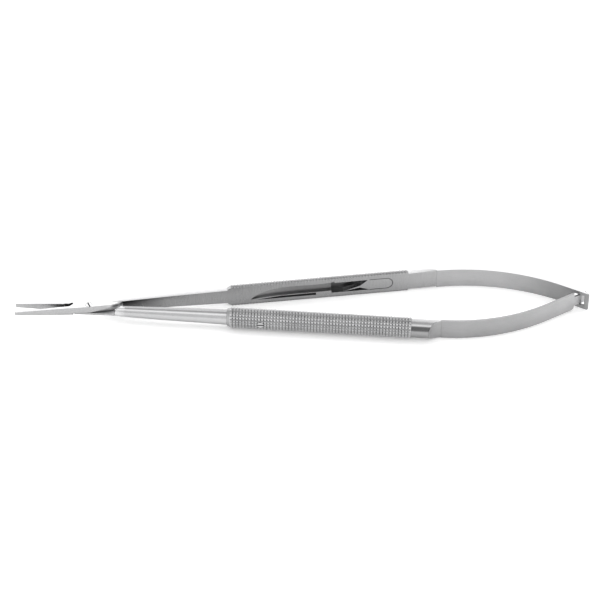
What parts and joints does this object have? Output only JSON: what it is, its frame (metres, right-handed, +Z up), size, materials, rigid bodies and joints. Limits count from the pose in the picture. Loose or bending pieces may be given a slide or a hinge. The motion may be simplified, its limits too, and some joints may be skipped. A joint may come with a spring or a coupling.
{
  "type": "surgical needle holder",
  "caption": "Slim spring-handled micro needle holder with straight smooth jaws, half-round ringed handles, a latch and bowed leaf springs that interlock at the tail, lying open.",
  "frame": {"origin": "centre of the box of the open instrument, on the surface that it lies on", "axes": "+X from the jaws to the spring tail, +Y from the near arm to the far arm, +Z up"},
  "size_m": [0.1846, 0.0296, 0.008],
  "materials": {
    "satin_steel": "satin",
    "spring_steel": "fine lengthwise brushed",
    "screw_steel": "polished satin"
  },
  "bodies": {
    "near_side": {"near_arm": "satin_steel", "joint_screw": "screw_steel", "latch_screw": "screw_steel"},
    "far_side": {"far_arm": "satin_steel", "catch_plate": "satin_steel", "catch_rivet": "screw_steel"},
    "near_leaf": {"near_leaf_spring": "spring_steel"},
    "far_leaf": {"far_leaf_spring": "spring_steel"},
    "latch": {"latch_spring": "spring_steel"}
  },
  "joints": [
    {"name": "jaw_pivot", "type": "hinge", "parent": "near_side", "child": "far_side", "pos_m": [-0.06853, 0, 0.004], "axis": [0, 0, 1], "range_deg": [-8.6, 0], "stiffness_Nm_per_rad": 2},
    {"name": "near_leaf_flex", "type": "hinge", "parent": "near_side", "child": "near_leaf", "pos_m": [0.04415, -0.01197, 0.004], "axis": [0, 0, 1], "range_deg": [-11.7, 0]},
    {"name": "far_leaf_flex", "type": "hinge", "parent": "far_side", "child": "far_leaf", "pos_m": [0.04415, 0.01197, 0.004], "axis": [0, 0, 1], "range_deg": [0, 18.3]},
    {"name": "latch_flex", "type": "hinge", "parent": "near_side", "child": "latch", "pos_m": [-0.01309, -0.00555, 0.004], "axis": [0.1054, 0.9944, 0], "range_deg": [-2, 2], "stiffness_Nm_per_rad": 0.3}
  ],
  "couplings": [
    {"joint": "near_leaf_flex", "follows": "jaw_pivot", "ratio": 1.3428},
    {"joint": "far_leaf_flex", "follows": "jaw_pivot", "ratio": -2.1122}
  ]
}
